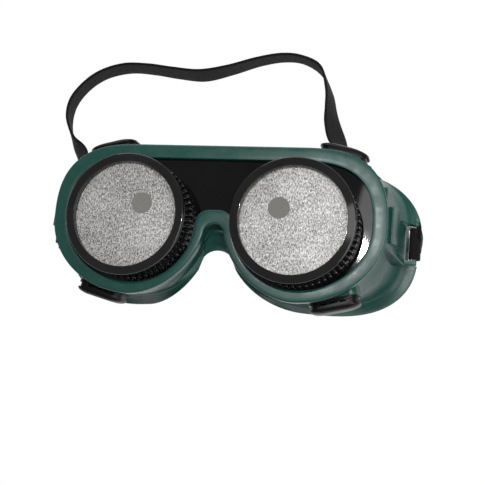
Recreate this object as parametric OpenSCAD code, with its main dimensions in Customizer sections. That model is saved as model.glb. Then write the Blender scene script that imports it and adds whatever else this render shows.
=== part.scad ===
// Tunnel vision simulation glasses: a soft goggle body with two screw rings that hold speckled view discs.
// The goggles lie on the temples of their face flange, with the lenses up and the headband beyond the brow.
// Millimetres. +Z is where the lenses look, +Y is towards the brow, z = 0 is the plane of the face.

/* [Lenses] */
// Distance between the two lens centres
lens_spacing = 78; // [76:0.5:84]
// Diameter of a view disc and of a cover lens
lens_d = 50; // [48:0.5:51]
// Thickness of the clear lens
clear_lens_t = 3; // [2:0.1:3.5]
// Thickness of the speckled view disc
view_disc_t = 2; // [1:0.1:2.5]
// Diameter of the clear spot in a view disc
spot_d = 9.9; // [6:0.1:14]
// Offset of the clear spot from the disc centre towards the nose
spot_in = 6.9; // [3:0.1:9]
// Offset of the clear spot from the disc centre towards the brow
spot_up = 5.7; // [0:0.1:9]
// Thickness of the soft gasket behind the clear lens
rear_gasket_t = 1.4; // [1:0.1:2]
// Thickness of the soft gasket under the screw ring
front_gasket_t = 0.8; // [0.6:0.1:1.2]
// Width of both gaskets
gasket_w = 1.8; // [1.2:0.1:2]
// Clearance between the pieces of a lens stack
stack_clear = 0.05; // [0.02:0.01:0.1]
// Clearance round a lens in its cup
lens_clear = 0.2; // [0.1:0.05:0.4]

/* [Lens cups] */
// Height of the cup ledge that carries the lens stack, from the back of the plate
ledge_h = 9.5; // [8:0.1:11]
// Width of that ledge
ledge_w = 2.2; // [2:0.1:3]
// Wall of the cup
cup_wall = 1.1; // [0.9:0.1:1.4]
// Height of the cup above the ledge
cup_h = 6; // [4:0.1:6.2]

/* [Screw rings] */
// Clearance of the ring thread on the cup
thread_clear = 0.05; // [0.02:0.01:0.08]
// Width of the lip that holds the view disc, from the aperture to the disc edge
ring_lip_w = 0.5; // [0.4:0.1:1.6]
// Height of the ring lip in front of the gasket
ring_lip_h = 3; // [2:0.1:4]
// Wall of the ring skirt outside the thread
ring_wall = 1; // [0.8:0.05:1.1]
// Step of the ring head outside the skirt
ring_head_step = 1; // [0.3:0.05:1.2]
// Height of the cylindrical side of the ring head
ring_head_h = 2.4; // [1.2:0.1:3]
// Number of grip teeth round the collar
tooth_count = 60; // [30:1:72]
// Height of the toothed collar
tooth_h = 3.4; // [2:0.1:4]
// Depth of a tooth
tooth_depth = 1.25; // [0.4:0.05:1.4]
// Gap between the collar and the plate
ring_plate_gap = 0.5; // [0.4:0.1:0.8]

/* [Lens plate] */
// Thickness of the black lens plate
plate_t = 3; // [2.6:0.1:3.4]
// Clearance round the plate in its groove
plate_clear = 0.3; // [0.2:0.05:0.5]
// Depth by which the lip holds the plate
plate_hold = 3.5; // [2.5:0.1:4]

/* [Front lip] */
// Height of the front face of the lip over the face plane
lip_front_z = 53; // [50:0.5:60]
// Width of the lip at the temple and the brow
lip_w = 6.6; // [6:0.1:7]
// Width of the lip at the cheek
lip_cheek_w = 5.5; // [5:0.1:6.5]
// Width of the lip beside the nose
lip_nose_w = 4.4; // [4:0.1:5]
// Width of the lip over the nose
lip_arch_w = 6.5; // [6:0.1:7]
// Thickness of the lip in front of the plate
lip_t = 2.7; // [2:0.1:3]
// Thickness of the ledge behind the plate
back_lip_t = 2.9; // [2:0.1:3.5]
// Rounding of the front edge of the lip
lip_round = 0.8; // [0.6:0.1:1.8]
// Fullness of the upper temple corner, 2 for an ellipse
lip_full = 2.7; // [2:0.1:3]
// Gap from the ring teeth to the window edge at the temple
window_side = 5.3; // [4.5:0.1:7]
// Gap from the ring teeth to the window edge at the brow
window_top = 1.2; // [1:0.1:3]
// Gap from the ring teeth to the window edge at the cheek
window_bottom = 1.1; // [1:0.1:3]
// Gap from the ring teeth to the window edge at the nose
window_nose = 1.3; // [1:0.1:2]
// Height of the nose arch top at the window
window_arch_y = 5.7; // [4:0.1:7]

/* [Side wall and face flange] */
// Thickness of the soft wall
wall_t = 2.2; // [1.8:0.1:2.6]
// Inset of the wall behind the lip
neck_in = 1.4; // [1.2:0.1:2]
// Growth of the wall from the lip to the flange at the temple
wall_side = 4; // [2.5:0.1:5]
// Draw-in of the wall from the lip to the flange at the brow
wall_brow = 1.7; // [1:0.1:2.5]
// Draw-in of the wall from the lip to the flange at the cheek
wall_cheek = 3; // [2:0.1:4]
// Growth of the nose arch from the lip to the foot of the wall
wall_arch = 1.9; // [1:0.1:3]
// Height of the nose arch top at the foot of the wall
wall_arch_y = -8; // [-9:0.1:-7]
// Width of the flange outside the wall at the temple
flange_side = 7.7; // [6.5:0.1:8.5]
// Width of the flange outside the wall at the brow
flange_brow = 1.1; // [1:0.1:3]
// Width of the flange outside the wall at the cheek
flange_cheek = 4.8; // [4:0.1:6]
// Growth of the nose arch from the foot of the wall to the flange edge
flange_arch = 2.5; // [1:0.1:3]
// Height of the nose arch top at the flange edge
flange_arch_y = -11.5; // [-13:0.1:-11]
// Fullness of the flange corners, 2 for an ellipse
flange_full = 2.7; // [2.4:0.1:3]
// Thickness of the flange edge at the temple
flange_t = 2.4; // [2:0.1:3]
// Height over the flange edge at which the wall starts to flare into the flange
flare_h = 8.5; // [8:0.1:9.5]
// Rise of the flange edge over the face plane at the nose
nose_rise = 40; // [34:0.5:41]
// Distance from the middle at which the flange edge meets the face plane
temple_x = 79; // [76:0.5:80]
// Rise of the flange edge at the brow corners
brow_rise = 18.5; // [18:0.5:20]
// Where the temple rest ends towards the brow
temple_top_y = 9; // [8:0.5:10]
// Distance over which the edge climbs from the temple to the brow corner
brow_climb = 11; // [10:0.5:12]

/* [Strap lugs] */
// Height of the lug axis over the face plane
lug_z = 17; // [16.5:0.1:17.5]
// Place of the lug axis, up or down the temple
lug_y = -0.8; // [-3:0.1:0]
// Thickness of the lug plate
lug_t = 4; // [3:0.1:4.5]
// Width of the strap slot across the strap
slot_w = 16; // [15.6:0.1:17]
// Opening of the strap slot
slot_gap = 3.4; // [3:0.1:3.6]
// Thickness of the bar outside the slot
bar_t = 2.2; // [1.8:0.1:2.4]
// Wall of the lug above and below the slot
lug_wall = 2.4; // [2:0.1:3]
// Width of the lug root behind the lip
lug_root_w = 27; // [22:0.5:30]
// Middle of the lug root, up or down the temple
lug_root_y = 7; // [3:0.5:8]
// Drop of the lug root behind the lip front
lug_root_drop = 7.5; // [7:0.5:10]
// Thickness of the pad on the lug
pad_t = 1.2; // [0.8:0.1:1.6]
// Length of the pad along the lug
pad_l = 9; // [6:0.5:12]
// Width of the pad across the lug
pad_w = 17; // [12:0.5:18]
// Middle of the pad, up or down the temple
pad_y = 4; // [2:0.5:5]

/* [Vents] */
// Length of a vent along the wall
vent_l = 25; // [20:0.5:26]
// Width of a vent
vent_w = 14; // [12:0.5:15]
// Height of the flat boss under a vent
vent_boss_h = 0.4; // [0.3:0.1:0.8]
// Thickness of the vent base
vent_base_t = 1.4; // [1:0.1:2]
// Air gap between the vent base and its cover
vent_gap = 2; // [1.4:0.1:2.6]
// Thickness of the vent cover
vent_cover_t = 2.6; // [1.6:0.1:3]
// Length of the outer face of the cover, between its sloped ends
vent_face_l = 14; // [10:0.5:18]
// Width of the outer face of the cover, between its sloped sides
vent_face_w = 9; // [7:0.5:11]
// Length of the air passage
vent_hole_l = 13; // [10:0.5:14]
// Width of the air passage
vent_hole_w = 5; // [4:0.5:5.5]
// Wall of the vent neck
vent_neck_wall = 1; // [0.8:0.1:1.2]
// Clearance of the vent neck in the wall
vent_clear = 0.15; // [0.1:0.05:0.3]
// Distance of the vents beyond the lens centres
vent_out = 17; // [15:0.5:19]
// Angle by which the vents follow the corner of the wall
vent_tilt = 14; // [10:1:18]
// Drop of the brow vents behind the lip front
brow_vent_drop = 14.2; // [13.5:0.1:15]
// Drop of the cheek vents behind the lip front
cheek_vent_drop = 15.4; // [14:0.1:17]

/* [Headband] */
// Width of the elastic band
band_w = 15; // [14:0.1:15]
// Thickness of the elastic band
band_t = 1.3; // [1:0.1:1.5]
// Clearance of the band round the bar and in the adjuster
band_clear = 0.3; // [0.25:0.05:0.4]
// Gap between the bar and the band end that turns beside it
pivot_gap = 0.5; // [0.4:0.05:0.7]
// Length of the adjuster along the band
adjuster_l = 10; // [8:0.5:11]
// Wall of the adjuster
adjuster_wall = 1.2; // [1:0.1:1.3]
// Air under the band where it stands on its edge
band_lift = 0.1; // [0.05:0.05:0.3]

/* [Hidden] */
left = -1;
right = 1;
green = "#2b5f53";
black = "#1c1c1e";
round_fn = 96;
// Steps of a quarter of a lobe, of half a nose arch and of half the straight brow
lobe_steps = 10;
arch_steps = 6;
brow_steps = 4;
// How fast the flange edge falls away beside the nose, and how much thinner it is there
nose_fall = 2.4;
nose_thin = 0.6;

lens_x = lens_spacing / 2;
lens_r = lens_d / 2;

// Heights of the lens stack, from the plate to the ring
plate_front_z = lip_front_z - lip_t;
plate_back_z = plate_front_z - plate_t;
ledge_z = plate_back_z + ledge_h;
rear_gasket_z = ledge_z;
clear_lens_z = rear_gasket_z + rear_gasket_t + stack_clear;
view_disc_z = clear_lens_z + clear_lens_t + stack_clear;
front_gasket_z = view_disc_z + view_disc_t + stack_clear;
ring_lip_z = front_gasket_z + front_gasket_t + stack_clear;
ring_front_z = ring_lip_z + ring_lip_h;
ring_back_z = plate_front_z + ring_plate_gap;

// Radii from the lens outwards
aperture_r = lens_r - ring_lip_w;
cup_in_r = lens_r + lens_clear;
cup_out_r = cup_in_r + cup_wall;
ring_in_r = cup_out_r + thread_clear;
skirt_r = ring_in_r + ring_wall;
head_r = skirt_r + ring_head_step;
tooth_r = skirt_r + tooth_depth;
tooth_w = PI * tooth_r / tooth_count;

// A section of the body: temple reach, brow reach and its fullness, cheek reach and its fullness,
// fullness beside the nose, half width, top and fullness of the nose arch
window = [tooth_r + window_side, tooth_r + window_top, lip_full, tooth_r + window_bottom, 2, 2,
    lens_x - tooth_r - window_nose, window_arch_y, 3];
lip = [window[0] + lip_w, window[1] + lip_w, lip_full, window[3] + lip_cheek_w, 2, 1.8,
    window[6] - lip_nose_w, window_arch_y - lip_arch_w, 2];
wall_end = [lip[0] + wall_side, lip[1] - wall_brow, lip_full, lip[3] - wall_cheek, flange_full, 2.2,
    lip[6] + wall_arch, wall_arch_y, 2];
flange = [wall_end[0] + flange_side, wall_end[1] + flange_brow, flange_full + 0.1,
    wall_end[3] + flange_cheek, flange_full, 2, wall_end[6] + flange_arch, flange_arch_y, 2];
plate_in = lip_w - plate_hold;
neck = inset(lip, neck_in);
hold_back = lip_t + plate_t + 0.1;
lip_side = hold_back + 0.3;

// The section moved inwards by d, all round
function inset(s, d) = [s[0] - d, s[1] - d, s[2], s[3] - d, s[4], s[5], s[6] + d, s[7] + d, s[8]];
function mix(a, b, f) = a * (1 - f) + b * f;
function smooth(f) = let(c = max(0, min(1, f))) c * c * (3 - 2 * c);

// The section of the lip at d from its outer edge towards the window
function across(d) = mix(lip, window, d / lip_w);

// One point of a lobe whose half axes are a and b, at angle t, with fullness n
function lobe(a, b, t, n) = [a * pow(cos(t), 2 / n), b * pow(sin(t), 2 / n)];

// Right half of a section, clockwise: brow, temple corner, cheek, inner cheek, nose arch
function half(s) = let(
        drop = s[6] - s[7],
        inner = (lens_x - s[6]) / pow(1 - pow(drop / s[3], s[5]), 1 / s[5]),
        last = asin(pow(drop / s[3], s[5] / 2)))
    concat(
        [for (i = [1:brow_steps - 1]) [lens_x * i / brow_steps, s[1]]],
        [for (i = [0:lobe_steps]) let(p = lobe(s[0], s[1], 90 - 90 * i / lobe_steps, s[2]))
            [lens_x + p[0], p[1]]],
        [for (i = [1:lobe_steps]) let(p = lobe(s[0], s[3], 90 * i / lobe_steps, s[4]))
            [lens_x + p[0], -p[1]]],
        [for (i = [1:lobe_steps]) let(p = lobe(inner, s[3], 90 - (90 - last) * i / lobe_steps, s[5]))
            [lens_x - p[0], -p[1]]],
        [for (i = [1:arch_steps]) let(p = lobe(s[6], s[6], 90 * i / arch_steps, s[8]))
            [p[0], p[1] - drop]]);

// Whole section: the brow middle, the right half, and its mirror without the shared arch top
function outline(s) = let(h = half(s), n = len(h)) concat(
    [[0, s[1]]], h, [for (i = [n - 2:-1:0]) [-h[i][0], h[i][1]]]);

// How much a place across the goggles belongs to the nose: 1 in the middle, 0 at the temples
function nose_share(x) = pow(cos(90 * min(1, abs(x) / temple_x)), nose_fall);

// Height of the flange edge over the face plane: low at the temples, high at the nose and the brow
function rim(x, y) = norm([
    nose_rise * nose_share(x) * (1 - 0.2 * smooth(y / 20)),
    brow_rise * smooth((y - temple_top_y) / brow_climb)]);

// A ring of points: section s, share w of the way from the lip front to the rim, and height dz added
function station(s, w, dz) = [for (p = outline(s))
    let(rise = dz > 0 ? dz * (1 - nose_thin * nose_share(p[0])) : dz)
    [p[0], p[1], mix(lip_front_z, rim(p[0], p[1]), w) + rise]];

// The section as a flat ring of points at height z
function flat(s, z) = [for (p = outline(s)) [p[0], p[1], z]];

// Faces of the band of quads between ring j and ring k, each ring with n points
function quads(j, k, n) = [for (i = [0:n - 1]) let(
        a = j * n + i, b = j * n + (i + 1) % n,
        c = k * n + (i + 1) % n, d = k * n + i)
    each [[a, d, c], [a, c, b]]];

// A closed tube through rings of points that lie one after another, back to the first
module closed_skin(rings) {
    m = len(rings);
    n = len(rings[0]);
    polyhedron([for (r = rings) each r], [for (j = [0:m - 1]) each quads(j, (j + 1) % m, n)]);
}

// A solid through rings of points from front to back, with flat ends
module solid_skin(rings) {
    m = len(rings);
    n = len(rings[0]);
    polyhedron([for (r = rings) each r], concat(
        [[for (i = [0:n - 1]) i]],
        [for (j = [0:m - 2]) each quads(j, j + 1, n)],
        [[for (i = [n - 1:-1:0]) (m - 1) * n + i]]));
}

// The hollow of the goggles out to the middle of the wall, which trims what stands on the wall
module wall_core() {
    d = wall_t / 2;
    solid_skin([
        station(inset(neck, d), 0, -lip_side),
        station(inset(mix(neck, wall_end, 0.2), d), 0.35, -5),
        station(inset(mix(neck, wall_end, 0.55), d), 0.65, -1),
        station(inset(wall_end, d), 1, flare_h),
        flat(inset(wall_end, d), -5)]);
}

// The soft shell: lip with the plate groove, necked wall, saddle over the nose and face flange
module body_shell() {
    back_in = lip_w - 0.5;
    closed_skin([
        station(window, 0, 0),
        station(inset(lip, lip_round - 0.2), 0, 0),
        station(inset(lip, lip_round / 5), 0, -lip_round / 3),
        station(lip, 0, -lip_round),
        station(lip, 0, 1.7 - lip_side),
        station(inset(lip, 0.5), 0, 0.8 - lip_side),
        station(neck, 0, -lip_side),
        station(mix(neck, wall_end, 0.2), 0.35, -5),
        station(mix(neck, wall_end, 0.55), 0.65, -1),
        station(wall_end, 1, flare_h),
        station(mix(wall_end, flange, 0.3), 1, 5.4),
        station(mix(wall_end, flange, 0.7), 1, flange_t + 1.2),
        station(mix(wall_end, flange, 0.95), 1, flange_t),
        station(flange, 1, flange_t - 0.8),
        station(flange, 1, 0.7),
        station(inset(flange, 0.7), 1, 0),
        station(mix(inset(wall_end, wall_t), flange, 0.25), 1, 0),
        station(inset(wall_end, wall_t), 1, 2),
        station(inset(wall_end, wall_t), 1, flare_h - 3),
        station(inset(mix(neck, wall_end, 0.55), wall_t), 0.72, -2.2),
        station(inset(mix(neck, wall_end, 0.2), wall_t), 0.42, -5.4),
        station(inset(neck, wall_t), 0, -hold_back - back_lip_t),
        station(across(back_in), 0, -hold_back - back_lip_t),
        station(across(back_in), 0, -hold_back),
        station(across(plate_in - plate_clear), 0, -hold_back),
        station(across(plate_in - plate_clear), 0, -lip_t + 0.1),
        station(window, 0, -lip_t + 0.1)]);
}

// Strap lug of one temple
bar_out = lens_x + flange[0] + 0.1;
bar_in = bar_out - bar_t;
slot_in = bar_in - slot_gap;
lug_half = slot_w / 2 + lug_wall;
// Depth of the lug's blocks into the wall before they are trimmed, and edge height of its root
lug_deep = 12;
lug_root_t = 2.5;

module lug() {
    root_z = lip_front_z - lug_root_drop;
    wall_x = lens_x + lip[0] - neck_in;
    difference() {
        union() {
            // Wedge that leaves the wall behind the lip and reaches the slot
            hull() {
                translate([wall_x - lug_deep, lug_root_y - lug_root_w / 2, root_z - lug_root_t])
                    cube([lug_deep, lug_root_w, lug_root_t]);
                translate([slot_in - lug_deep, lug_y - lug_half, lug_z - lug_t / 2])
                    cube([lug_deep, 2 * lug_half, lug_t]);
            }
            translate([slot_in - lug_deep, lug_y - lug_half, lug_z - lug_t / 2])
                cube([bar_out - slot_in + lug_deep, 2 * lug_half, lug_t]);
        }
        wall_core();
        translate([slot_in, lug_y - slot_w / 2, lug_z - lug_t])
            cube([slot_gap, slot_w, 2 * lug_t]);
    }
    // Grip pad along the face of the wedge
    slope = atan2(slot_in - wall_x, root_z - lug_z - lug_t / 2);
    translate([wall_x, pad_y - pad_w / 2, root_z])
        rotate([0, -slope, 0])
            translate([-1, 0, -lug_root_t - pad_l])
                cube([pad_t + 1, pad_w, pad_l]);
}

// Notch in the flange that lets the strap pass straight back
module strap_notch() {
    translate([slot_in + 1, lug_y - slot_w / 2 - 0.5, -1])
        cube([bar_out + 4 - slot_in, slot_w + 1, lug_z - lug_t]);
}

// Reach of the wall at the middle of a vent on the brow side (1) or the cheek side (-1)
function wall_y(brow) = let(
        s = mix(neck, wall_end, 0.2),
        b = brow > 0 ? s[1] : s[3],
        n = brow > 0 ? s[2] : s[4])
    b * pow(1 - pow(vent_out / s[0], n), 1 / n);

// Puts a vent piece on its boss: local z points out of the wall, local x runs along it
module at_vent(side, brow) {
    drop = brow > 0 ? brow_vent_drop : cheek_vent_drop;
    translate([side * (lens_x + vent_out), brow * (wall_y(brow) + vent_boss_h), lip_front_z - drop])
        rotate([0, 0, -side * brow * vent_tilt])
            rotate([-brow * 90, 0, 0])
                children();
}

// Rectangle with chamfered corners
module vent_plan(l, w, c) {
    polygon([
        [-l / 2 + c, -w / 2], [l / 2 - c, -w / 2], [l / 2, -w / 2 + c], [l / 2, w / 2 - c],
        [l / 2 - c, w / 2], [-l / 2 + c, w / 2], [-l / 2, w / 2 - c], [-l / 2, -w / 2 + c]]);
}

neck_l = vent_hole_l + 2 * vent_neck_wall;
neck_w = vent_hole_w + 2 * vent_neck_wall;
// Block that carries the cover, and the windows through it
block_l = vent_hole_l + 2;
block_w = vent_hole_w + 4;
window_l = 3;
window_step = 4.4;

module goggle_body() {
    color(green) difference() {
        union() {
            body_shell();
            for (side = [left, right])
                mirror([side < 0 ? 1 : 0, 0, 0]) lug();
            // Flat bosses under the vents
            difference() {
                for (side = [left, right], brow = [-1, 1])
                    at_vent(side, brow)
                        translate([-vent_l / 2, -vent_w / 2 + 0.5, -vent_boss_h - 6])
                            cube([vent_l, vent_w - 1, vent_boss_h + 6]);
                wall_core();
            }
        }
        for (side = [left, right])
            mirror([side < 0 ? 1 : 0, 0, 0]) strap_notch();
        for (side = [left, right], brow = [-1, 1])
            at_vent(side, brow)
                translate([-neck_l / 2 - vent_clear, -neck_w / 2 - vent_clear, -8])
                    cube([neck_l + 2 * vent_clear, neck_w + 2 * vent_clear, 12]);
    }
}

module vent_base(side, brow) {
    color(black) at_vent(side, brow) difference() {
        union() {
            linear_extrude(vent_base_t) vent_plan(vent_l - 1, vent_w, 3);
            translate([-neck_l / 2, -neck_w / 2, -4]) cube([neck_l, neck_w, 5]);
            // Hollow block that carries the cover
            translate([-block_l / 2, -block_w / 2, 0]) cube([block_l, block_w, vent_base_t + vent_gap]);
        }
        translate([-vent_hole_l / 2, -vent_hole_w / 2, -5])
            cube([vent_hole_l, vent_hole_w, 10]);
        // Air windows through the long sides of the block
        for (i = [-1:1])
            translate([i * window_step - window_l / 2, -block_w, vent_base_t])
                cube([window_l, 2 * block_w, vent_gap - 0.6]);
    }
}

module vent_cover(side, brow) {
    color(black) at_vent(side, brow) translate([0, 0, vent_base_t + vent_gap]) hull() {
        linear_extrude(vent_cover_t * 0.3) vent_plan(vent_l, vent_w, 3);
        linear_extrude(vent_cover_t) vent_plan(vent_face_l, vent_face_w, 2);
    }
}

module at_lens(side) {
    translate([side * lens_x, 0, 0]) children();
}

// A round washer
module washer(out_r, in_r, h) {
    difference() {
        cylinder(h = h, r = out_r, $fn = round_fn);
        translate([0, 0, -1]) cylinder(h = h + 2, r = in_r, $fn = round_fn);
    }
}

module lens_plate() {
    color(black) difference() {
        union() {
            translate([0, 0, plate_back_z]) linear_extrude(plate_t) polygon(outline(across(plate_in)));
            for (side = [left, right])
                at_lens(side) translate([0, 0, plate_back_z])
                    cylinder(h = ledge_h + cup_h, r = cup_out_r, $fn = round_fn);
        }
        for (side = [left, right]) {
            at_lens(side) translate([0, 0, ledge_z])
                cylinder(h = cup_h + 1, r = cup_in_r, $fn = round_fn);
            at_lens(side) translate([0, 0, plate_back_z - 1])
                cylinder(h = ledge_h + 2, r = cup_in_r - ledge_w, $fn = round_fn);
        }
    }
}

// Turned profile of a screw ring, from the aperture round the head and the skirt to the thread
module ring_profile() {
    head_z = ring_front_z - 0.6;
    polygon([
        [aperture_r, ring_lip_z], [aperture_r, ring_front_z - 0.2], [aperture_r + 0.2, ring_front_z],
        [head_r - 0.7, ring_front_z], [head_r - 0.2, ring_front_z - 0.2],
        [head_r, head_z], [head_r, head_z - ring_head_h], [skirt_r, head_z - ring_head_h - 0.8],
        [skirt_r, ring_back_z], [ring_in_r, ring_back_z], [ring_in_r, ring_lip_z]]);
}

module screw_ring(side) {
    color(black) at_lens(side) union() {
        rotate_extrude($fn = round_fn) ring_profile();
        // Collar of rectangular grip teeth
        for (i = [0:tooth_count - 1])
            rotate([0, 0, 360 * i / tooth_count])
                translate([skirt_r - 0.4, -tooth_w / 2, ring_back_z])
                    cube([tooth_depth + 0.4, tooth_w, tooth_h]);
    }
}

// Speckled disc with its clear spot
module view_disc(side) {
    color("#b0aba6") at_lens(side) translate([0, 0, view_disc_z]) difference() {
        cylinder(h = view_disc_t, r = lens_r, $fn = round_fn);
        translate([-side * spot_in, spot_up, -1]) cylinder(h = view_disc_t + 2, d = spot_d, $fn = 48);
    }
}

module clear_lens(side) {
    color("#c8cfd0", 0.5) at_lens(side) translate([0, 0, clear_lens_z])
        cylinder(h = clear_lens_t, r = lens_r, $fn = round_fn);
}

module rear_gasket(side) {
    color(black) at_lens(side) translate([0, 0, rear_gasket_z])
        washer(lens_r, lens_r - gasket_w, rear_gasket_t);
}

module front_gasket(side) {
    color(black) at_lens(side) translate([0, 0, front_gasket_z])
        washer(ring_in_r - 0.3, aperture_r + 0.2, front_gasket_t);
}

// End of the strap, folded round the lug bar and open towards the band end beside it
module strap_loop(side) {
    gap = band_clear;
    color(black) mirror([side < 0 ? 1 : 0, 0, 0])
        translate([0, lug_y + band_w / 2, 0]) rotate([90, 0, 0]) linear_extrude(band_w) difference() {
            translate([bar_in - gap - band_t, lug_z - lug_t / 2 - gap - band_t])
                square([bar_t + gap + band_t + 0.2, lug_t + 2 * (gap + band_t)]);
            translate([bar_in - gap, lug_z - lug_t / 2 - gap])
                square([bar_t + gap + 1, lug_t + 2 * gap]);
        }
}

// Middle line of the band from the left lug round to the right lug: x, y, height of the middle,
// and how far its upper edge leans into the loop
band_x = bar_out + pivot_gap + band_t / 2;
rest_z = band_w / 2 + band_lift;
guide_z = rest_z + 1.75;
band_route = [
    [-band_x, lug_y, lug_z, 0], [-band_x, lug_y + 9, lug_z - 1.5, 0], [-91.4, 18.5, 13, 0],
    [-88.6, 28.5, 10, 0.6], [-87.6, 38.4, 8, 1.4], [-92.4, 49.2, rest_z, 1.8], [-97.2, 60.1, rest_z, 1],
    [-96.2, 70.9, rest_z, 0.4], [-89.4, 79.8, rest_z, 0], [-79.8, 86.3, rest_z, 0], [-67.2, 90.4, rest_z, 0],
    [-53.5, 90.5, rest_z, 0], [-39.9, 88.2, rest_z, 0], [-25.2, 86.3, rest_z, 0], [-10.4, 89, rest_z, 0],
    [4.5, 93.6, rest_z, 0], [17.4, 96.8, rest_z, 0], [28.3, 95.4, rest_z, 0], [37.3, 88.9, rest_z, 0.4],
    [41.3, 77.9, rest_z, 1], [43.8, 66.9, rest_z + 0.3, 1.2], [47.8, 54.3, rest_z + 1.8, 0.3],
    [53.3, 46.4, guide_z, 0], [60.4, 41.8, guide_z, 0], [67.4, 37.4, guide_z, 0], [74.2, 33.1, guide_z, 0],
    [79, 29.2, guide_z, 0], [83.4, 25.4, guide_z, 0], [87.6, 22, guide_z + 0.4, 0],
    [91.6, 18.8, guide_z + 1.6, 0], [band_x, 13, lug_z - 3, 0], [band_x, lug_y + 7, lug_z - 0.8, 0],
    [band_x, lug_y, lug_z, 0]];
route_steps = 4;

// Point of a curve through the route, f of the way from point i to the next
function on_route(i, f) = let(
        n = len(band_route) - 1,
        a = band_route[max(0, i - 1)], b = band_route[i],
        c = band_route[min(n, i + 1)], d = band_route[min(n, i + 2)])
    (b * 2 + (c - a) * f + (a * 2 - b * 5 + c * 4 - d) * f * f + (b * 3 - a - c * 3 + d) * f * f * f) / 2;
function curve() = concat(
    [for (i = [0:len(band_route) - 2], k = [0:route_steps - 1]) on_route(i, k / route_steps)],
    [band_route[len(band_route) - 1]]);

// The four corners of the band at each point of its curve, standing on its edge
function band_corners(path) = let(n = len(path) - 1) [for (i = [0:n]) let(
        d = path[min(n, i + 1)] - path[max(0, i - 1)],
        flat_side = [d[1], -d[0], 0] / norm([d[0], d[1]]),
        lean = path[i][3],
        rise = sqrt(pow(band_w / 2, 2) - lean * lean),
        up = flat_side * lean + [0, 0, rise],
        side = (flat_side * rise - [0, 0, lean]) * band_t / band_w,
        p = [path[i][0], path[i][1], path[i][2]])
    each [p + side - up, p + side + up, p - side + up, p - side - up]];

module headband() {
    path = curve();
    n = len(path);
    color(black) union() {
        polyhedron(band_corners(path), concat(
            [[0, 2, 1], [0, 3, 2]],
            [for (j = [0:n - 2], i = [0:3]) let(a = 4 * j + i, b = 4 * j + (i + 1) % 4)
                each [[a, b, a + 4], [b, b + 4, a + 4]]],
            [[4 * n - 4, 4 * n - 3, 4 * n - 2], [4 * n - 4, 4 * n - 2, 4 * n - 1]]));
        // Rounded ends beside the lug bars
        for (side = [left, right])
            translate([side * band_x - band_t / 2, lug_y, lug_z])
                rotate([0, 90, 0]) cylinder(h = band_t, d = band_w, $fn = 48);
    }
}

// Adjuster on the straight stretch of the band behind the right brow vent
adjust_a = band_route[23];
adjust_b = band_route[24];
adjust_turn = atan2(adjust_b[1] - adjust_a[1], adjust_b[0] - adjust_a[0]);

module strap_adjuster() {
    h = band_w + 2 * (band_clear + adjuster_wall);
    t = band_t + 2 * (band_clear + adjuster_wall);
    mid = (adjust_a + adjust_b) / 2;
    color(black) translate([mid[0], mid[1], mid[2]]) rotate([0, 0, adjust_turn]) difference() {
        translate([-adjuster_l / 2, -t / 2, -h / 2]) cube([adjuster_l, t, h]);
        translate([-adjuster_l, -band_t / 2 - band_clear, -band_w / 2 - band_clear])
            cube([2 * adjuster_l, band_t + 2 * band_clear, band_w + 2 * band_clear]);
        // Two windows on each side of the middle bar
        for (s = [-1, 1])
            translate([s * adjuster_l / 4 - 1.4, -t, -band_w / 2 + 0.8])
                cube([2.8, 2 * t, band_w - 1.6]);
    }
}

goggle_body();
lens_plate();
screw_ring(left);  // left_screw_ring
screw_ring(right);  // right_screw_ring
view_disc(left);  // left_view_disc
view_disc(right);  // right_view_disc
clear_lens(left);  // left_clear_lens
clear_lens(right);  // right_clear_lens
rear_gasket(left);  // left_rear_gasket
rear_gasket(right);  // right_rear_gasket
front_gasket(left);  // left_front_gasket
front_gasket(right);  // right_front_gasket
vent_base(left, 1);  // left_brow_vent_base
vent_base(right, 1);  // right_brow_vent_base
vent_base(left, -1);  // left_cheek_vent_base
vent_base(right, -1);  // right_cheek_vent_base
vent_cover(left, 1);  // left_brow_vent_cover
vent_cover(right, 1);  // right_brow_vent_cover
vent_cover(left, -1);  // left_cheek_vent_cover
vent_cover(right, -1);  // right_cheek_vent_cover
strap_loop(left);  // left_strap_loop
strap_loop(right);  // right_strap_loop
headband();
strap_adjuster();
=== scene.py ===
import math
import bpy
import bmesh
import numpy as np
from mathutils import Matrix, Vector


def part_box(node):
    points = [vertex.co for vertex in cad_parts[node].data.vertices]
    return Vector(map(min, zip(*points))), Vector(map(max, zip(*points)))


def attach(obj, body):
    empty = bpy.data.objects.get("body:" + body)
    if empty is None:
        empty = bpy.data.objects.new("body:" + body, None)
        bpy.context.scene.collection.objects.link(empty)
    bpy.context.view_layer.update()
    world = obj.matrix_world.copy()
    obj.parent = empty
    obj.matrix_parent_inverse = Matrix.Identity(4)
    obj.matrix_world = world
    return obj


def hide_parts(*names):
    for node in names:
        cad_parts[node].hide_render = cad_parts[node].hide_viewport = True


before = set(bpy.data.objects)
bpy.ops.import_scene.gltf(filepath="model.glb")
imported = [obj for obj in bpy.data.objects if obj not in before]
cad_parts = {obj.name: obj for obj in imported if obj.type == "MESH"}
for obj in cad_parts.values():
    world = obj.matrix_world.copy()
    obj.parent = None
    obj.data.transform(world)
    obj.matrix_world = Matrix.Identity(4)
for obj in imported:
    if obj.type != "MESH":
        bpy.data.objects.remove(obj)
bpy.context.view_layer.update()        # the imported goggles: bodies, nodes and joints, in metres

mm = 0.001               # shapes are written in millimetres and stored in metres
sides = {"left": -1, "right": 1}
print("frame loaded:", len(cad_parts), "nodes")


# Where things are, read from the frame

def nodeBox(node):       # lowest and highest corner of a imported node, in millimetres
    low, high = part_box(node)
    return np.array(low) / mm, np.array(high) / mm


discLow, discHigh = nodeBox("right_view_disc")
ringLow, ringHigh = nodeBox("right_screw_ring")
lensX = float((discLow[0] + discHigh[0]) / 2)
lipFront = float(nodeBox("goggle_body")[1][2])


# Camera, at the angle of the photograph

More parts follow.
